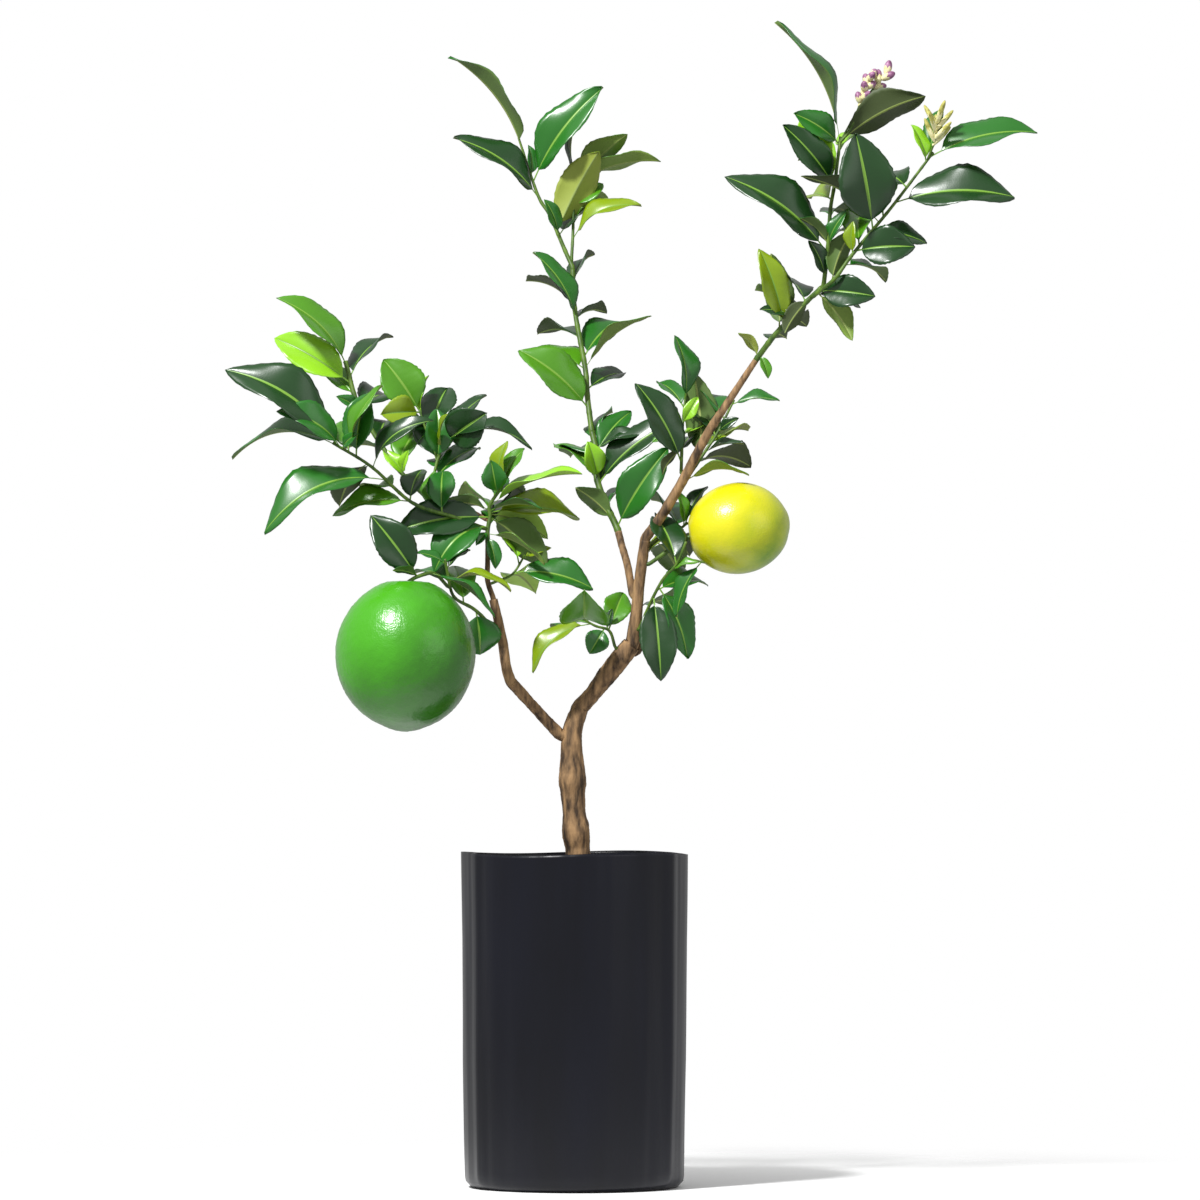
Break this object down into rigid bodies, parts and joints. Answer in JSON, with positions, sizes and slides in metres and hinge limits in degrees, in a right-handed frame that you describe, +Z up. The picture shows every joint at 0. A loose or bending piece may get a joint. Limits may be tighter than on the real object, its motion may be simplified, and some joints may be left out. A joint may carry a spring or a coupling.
{
  "type": "potted fruit salad citrus tree",
  "caption": "Young multi-grafted citrus tree in a black film planter bag, with a forked trunk, open leafy boughs and a green and a yellow fruit.",
  "frame": {"origin": "middle of the bag's flat underside", "axes": "+Z up along the trunk, -Y towards the side the tree is looked at from, +X to that viewer's right"},
  "size_m": [0.6935, 0.2867, 1.0001],
  "materials": {
    "bag_film": "black polythene film, glossy, with upright gusset creases",
    "soil": "damp dark potting mix",
    "bark": "tan-brown young citrus bark with green streaks",
    "foliage": "leathery green citrus leaves, glossy above and paler below",
    "green_peel": "pebbled bright green peel",
    "yellow_peel": "smooth pored yellow peel turning green"
  },
  "bodies": {
    "root": {"pot": "bag_film", "soil": "soil", "trunk": "bark", "left_bough_lower": "bark", "left_bough_upper": "bark", "left_leader": "bark", "left_reach": "bark", "right_bough_lower": "bark", "right_bough_middle": "bark", "right_bough_upper": "bark", "centre_bough": "bark", "pruned_stub": "bark", "left_heart_right": "foliage", "left_heart_high": "foliage", "far_left_low": "foliage", "far_left_top": "foliage", "fruit_side": "foliage", "leader_side": "foliage", "centre_low": "foliage", "centre_mid": "foliage", "centre_top": "foliage", "right_inner": "foliage", "right_outer": "foliage", "fruit_leaves": "foliage", "knee_spray": "foliage", "stub_spray": "foliage", "right_mid": "foliage", "right_top_left": "foliage", "right_top_right": "foliage", "green_fruit": "green_peel", "yellow_fruit": "yellow_peel"}
  },
  "joints": []
}
